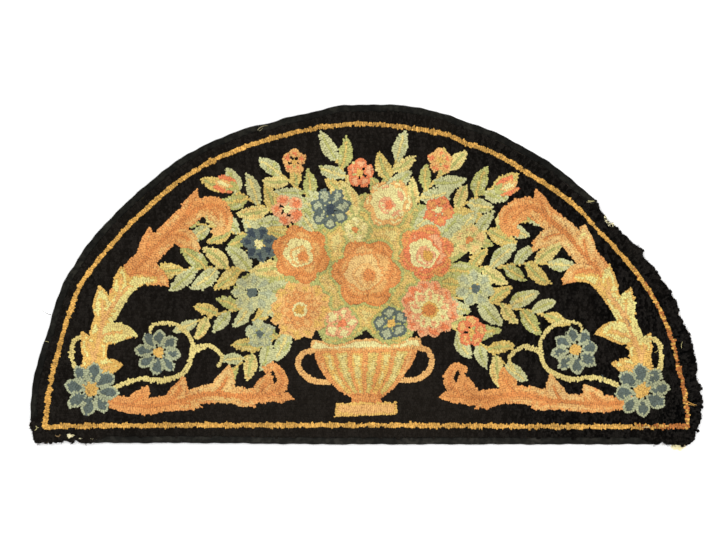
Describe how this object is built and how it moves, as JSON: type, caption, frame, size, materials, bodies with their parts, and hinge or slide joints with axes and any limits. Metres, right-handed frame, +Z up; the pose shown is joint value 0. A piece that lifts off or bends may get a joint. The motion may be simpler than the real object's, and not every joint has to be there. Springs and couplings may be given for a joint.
{
  "type": "half-round hooked hearth rug",
  "caption": "Half-round hooked wool hearth rug with a straight base, a folded cloth binding on most of its edge and worn, frayed corners.",
  "frame": {"origin": "on the floor under the middle of the rug's box", "axes": "+X along the straight base, to the right as the design is seen; +Y from the base towards the crown of the arch; +Z up, out of the pile"},
  "size_m": [1.4496, 0.748, 0.0097],
  "materials": {
    "hooked_wool": "matte hooked wool loops, mostly black, with a coloured floral design",
    "binding_cloth": "faded black cotton binding, plain weave",
    "burlap": "natural tan burlap, frayed"
  },
  "bodies": {
    "root": {"hooked_rug": "hooked_wool", "binding_left": "binding_cloth", "binding_top": "binding_cloth", "binding_base": "binding_cloth", "burlap_tuft": "burlap"}
  },
  "joints": []
}
